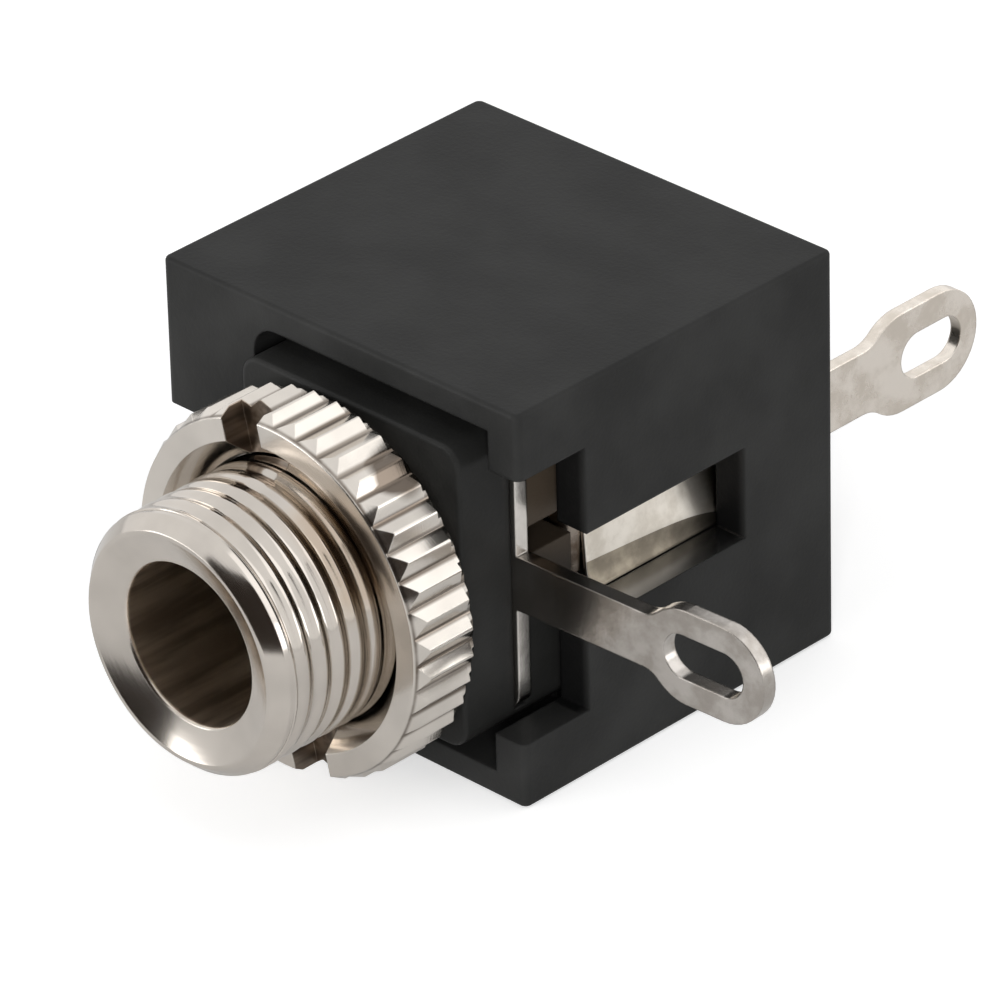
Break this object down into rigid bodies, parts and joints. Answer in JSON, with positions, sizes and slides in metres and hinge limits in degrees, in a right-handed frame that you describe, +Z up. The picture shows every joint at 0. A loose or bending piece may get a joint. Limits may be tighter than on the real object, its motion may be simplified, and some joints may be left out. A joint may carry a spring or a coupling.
{
  "type": "mono jack socket",
  "caption": "Panel-mount mono jack socket with a boxed plastic body, a threaded metal bushing, a knurled ring nut and solder lugs.",
  "frame": {"origin": "on the bushing's axis, at the front block's front face, where a panel sits", "axes": "-Y points out of the plug's mouth, +X towards the side solder lug, +Z up"},
  "size_m": [0.0163, 0.0216, 0.0096],
  "materials": {
    "shell_plastic": "satin moulded",
    "block_plastic": "satin moulded",
    "plated_sheet": "nickel plated sheet",
    "plated_brass": "nickel plated, turned",
    "plated_nut": "nickel plated, turned and knurled",
    "plated_strip": "plated spring strip"
  },
  "bodies": {
    "socket": {"housing_shell": "shell_plastic", "front_block": "block_plastic", "sleeve_plate": "plated_sheet", "threaded_bushing": "plated_brass", "tip_contact": "plated_strip"},
    "nut": {"ring_nut": "plated_nut"}
  },
  "joints": [
    {"name": "nut_travel", "type": "slide", "parent": "socket", "child": "nut", "axis": [0, -1, 0], "range_m": [-0.00055, 0.0026]}
  ]
}
